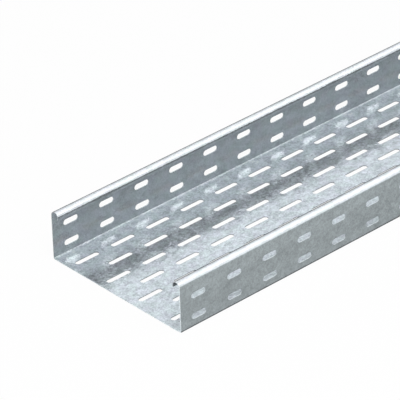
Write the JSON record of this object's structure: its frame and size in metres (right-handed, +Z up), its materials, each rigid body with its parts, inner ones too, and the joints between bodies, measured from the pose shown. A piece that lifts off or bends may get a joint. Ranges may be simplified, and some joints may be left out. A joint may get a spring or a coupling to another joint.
{
  "type": "cable tray",
  "caption": "Straight length of perforated cable tray: a shallow galvanised sheet steel channel with slotted base and side walls and rolled rims.",
  "frame": {"origin": "under the middle of the base, on the level that the tray rests on", "axes": "+X along the tray, from the end nearest the camera to the far end; +Y across it, towards the wall on the left of the picture; +Z up"},
  "size_m": [2, 0.2, 0.06],
  "materials": {
    "galvanised_steel": "hot-dip galvanised, dull, with a soft spangle"
  },
  "bodies": {
    "root": {"cable_tray": "galvanised_steel"}
  },
  "joints": []
}
